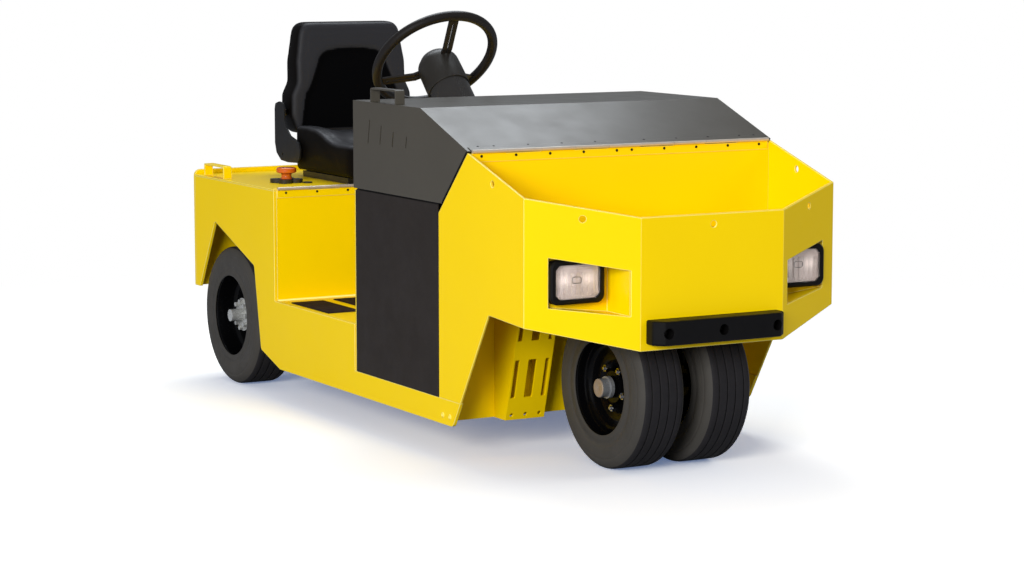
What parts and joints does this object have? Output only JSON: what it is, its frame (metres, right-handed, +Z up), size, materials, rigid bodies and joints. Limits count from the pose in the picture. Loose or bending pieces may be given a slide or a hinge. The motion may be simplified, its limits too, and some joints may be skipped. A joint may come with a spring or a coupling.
{
  "type": "airport baggage tug",
  "caption": "Battery-powered three-wheel baggage tug with an open front bin, twin steered front wheel, tilting hood, tilting seat deck and a ladder hitch with a drop pin.",
  "frame": {"origin": "on the ground, halfway along the overall length and halfway across the width", "axes": "+X forward, +Y to the driver's left, +Z up"},
  "size_m": [2.598, 1.016, 1.2534],
  "materials": {
    "yellow_paint": "gloss",
    "hood_paint": "satin",
    "panel_paint": "satin",
    "black_enamel": "gloss",
    "tyre": "matte",
    "rubber": "matte",
    "clear_lens": "gloss",
    "red_lens": "gloss",
    "seat_vinyl": "satin",
    "black_plastic": "satin",
    "red_plastic": "gloss",
    "battery_case": "matte",
    "zinc_steel": "satin",
    "hub_metal": "satin",
    "cast_metal": "matte"
  },
  "bodies": {
    "chassis": {"side_plates": "yellow_paint", "rear_plate": "yellow_paint", "seat_box_wall": "yellow_paint", "floor_pan": "yellow_paint", "floor_mats": "rubber", "dash_panel": "yellow_paint", "inner_bulkhead": "yellow_paint", "nose_shell": "yellow_paint", "bin_floor": "yellow_paint", "lamp_pockets": "yellow_paint", "lamp_bezels": "rubber", "lamp_lenses": "clear_lens", "bumper": "rubber", "steering_mount": "yellow_paint", "steering_posts": "yellow_paint", "underframe": "yellow_paint", "battery": "battery_case", "side_covers": "panel_paint", "steering_column": "black_plastic", "pedals": "rubber", "instrument_pod": "black_plastic", "rear_axle": "cast_metal", "drive_motor": "cast_metal", "hitch": "black_enamel", "tail_lamps": "red_lens", "fixed_hinges": "zinc_steel"},
    "fork": {"steer_fork": "black_enamel"},
    "front_wheels": {"front_tyres": "tyre", "front_rims": "black_enamel", "front_hubs": "hub_metal", "front_nuts": "zinc_steel"},
    "rear_wheel_left": {"rear_tyre_left": "tyre", "rear_rim_left": "black_enamel", "rear_hub_left": "cast_metal"},
    "rear_wheel_right": {"rear_tyre_right": "tyre", "rear_rim_right": "black_enamel", "rear_hub_right": "cast_metal"},
    "steering_wheel_body": {"steering_wheel": "black_plastic", "wheel_cover": "black_plastic"},
    "hood_body": {"hood": "hood_paint", "hood_handle": "hood_paint", "hood_hinge": "zinc_steel"},
    "deck_body": {"seat_deck": "yellow_paint", "deck_handle": "yellow_paint", "knob_base": "black_plastic", "knob": "red_plastic", "seat_frame": "black_enamel", "seat_cushion": "seat_vinyl", "seat_back": "seat_vinyl", "deck_hinge": "zinc_steel"},
    "pin_body": {"hitch_pin": "zinc_steel"}
  },
  "joints": [
    {"name": "steer", "type": "hinge", "parent": "chassis", "child": "fork", "pos_m": [0.946, 0, 0.48], "axis": [0, 0, 1], "range_deg": [-70, 70]},
    {"name": "front_wheels_spin", "type": "hinge", "parent": "fork", "child": "front_wheels", "pos_m": [0.946, 0, 0.23], "axis": [0, 1, 0], "continuous": true},
    {"name": "rear_wheel_left_spin", "type": "hinge", "parent": "chassis", "child": "rear_wheel_left", "pos_m": [-0.918, 0.425, 0.23], "axis": [0, 1, 0], "continuous": true},
    {"name": "rear_wheel_right_spin", "type": "hinge", "parent": "chassis", "child": "rear_wheel_right", "pos_m": [-0.918, -0.425, 0.23], "axis": [0, 1, 0], "continuous": true},
    {"name": "steering_wheel_turn", "type": "hinge", "parent": "chassis", "child": "steering_wheel_body", "pos_m": [-0.3885, 0, 1.095], "axis": [-0.7193, 0, 0.6947], "range_deg": [-700, 700]},
    {"name": "hood_tilt", "type": "hinge", "parent": "chassis", "child": "hood_body", "pos_m": [0.781, 0, 0.89379], "axis": [0, 1, 0], "range_deg": [0, 75]},
    {"name": "deck_tilt", "type": "hinge", "parent": "chassis", "child": "deck_body", "pos_m": [-0.531, 0, 0.685], "axis": [0, 1, 0], "range_deg": [0, 45]},
    {"name": "pin_lift", "type": "slide", "parent": "chassis", "child": "pin_body", "axis": [0, 0, 1], "range_m": [0, 0.2]}
  ],
  "couplings": [
    {"joint": "steering_wheel_turn", "follows": "steer", "ratio": 10}
  ]
}
